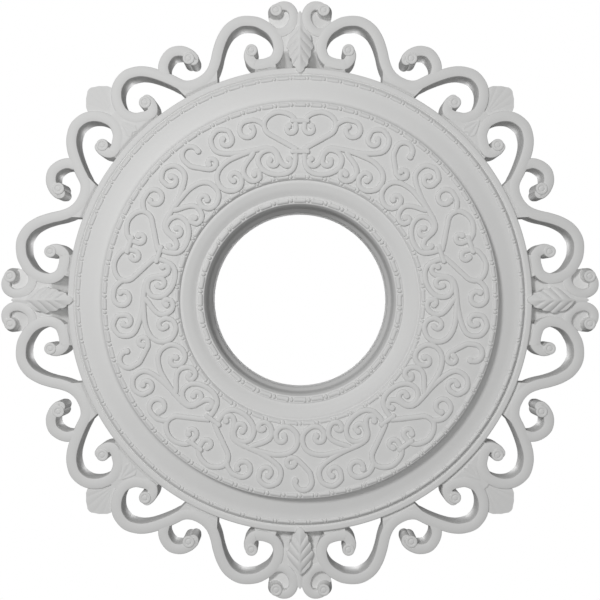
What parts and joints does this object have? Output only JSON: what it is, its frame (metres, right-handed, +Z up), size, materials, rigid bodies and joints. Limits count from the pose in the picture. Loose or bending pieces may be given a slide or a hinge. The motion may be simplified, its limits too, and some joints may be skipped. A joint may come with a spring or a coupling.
{
  "type": "ceiling rose",
  "caption": "Round ceiling rose with a canopy hole, beaded rings, scrolled relief and a pierced border of scrolling bands, leaves and palmettes.",
  "frame": {"origin": "centre of the flat back, on the axis of the central hole, where the rose meets the ceiling", "axes": "+Z points up out of the flat back into the ceiling, so the carved face looks down along -Z; +X, -X, +Y and -Y each run through one of the border's leaves; one heart of the inner scrollwork points along -Y"},
  "size_m": [0.5586, 0.5586, 0.0444],
  "materials": {
    "primed_white": "matt white factory primer over moulded rigid foam"
  },
  "bodies": {
    "root": {"ceiling_rose": "primed_white"}
  },
  "joints": []
}
